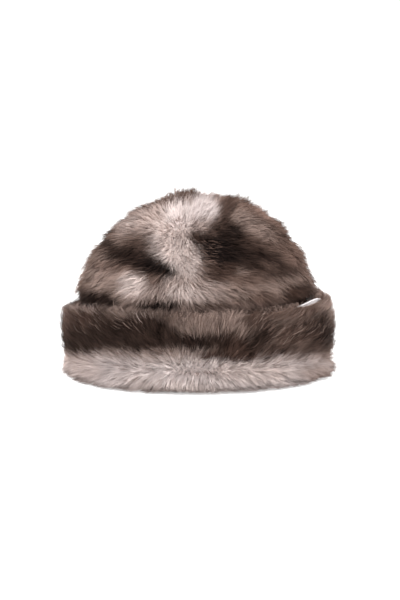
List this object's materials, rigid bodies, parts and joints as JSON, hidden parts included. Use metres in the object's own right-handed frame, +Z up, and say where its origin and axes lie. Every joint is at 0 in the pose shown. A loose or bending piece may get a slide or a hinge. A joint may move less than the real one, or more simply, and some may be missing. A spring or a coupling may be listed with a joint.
{
  "type": "shearling hat",
  "caption": "Round shearling hat with a domed crown and a deep turned-up cuff, hide inside and long soft pile outside.",
  "frame": {"origin": "the middle of the hat on the surface that it stands on", "axes": "+Z up; -Y is the front of the hat and +X its right in the front view"},
  "size_m": [0.244, 0.2558, 0.1622],
  "materials": {
    "hide": "matt suede, the napped inner side of the shearling",
    "crown_fur": "long soft pile in patches of off-white, grey brown and dark brown, with dark tips",
    "cuff_fur": "long soft pile, dark brown above a pale band along the fold"
  },
  "bodies": {
    "root": {"crown_hide_front_left": "hide", "crown_hide_front_right": "hide", "crown_hide_back_right": "hide", "crown_hide_back_left": "hide", "crown_fur_front_left": "crown_fur", "crown_fur_front_right": "crown_fur", "crown_fur_back_right": "crown_fur", "crown_fur_back_left": "crown_fur", "cuff_hide_front": "hide", "cuff_hide_back": "hide", "cuff_fur_front": "cuff_fur", "cuff_fur_back": "cuff_fur"}
  },
  "joints": []
}
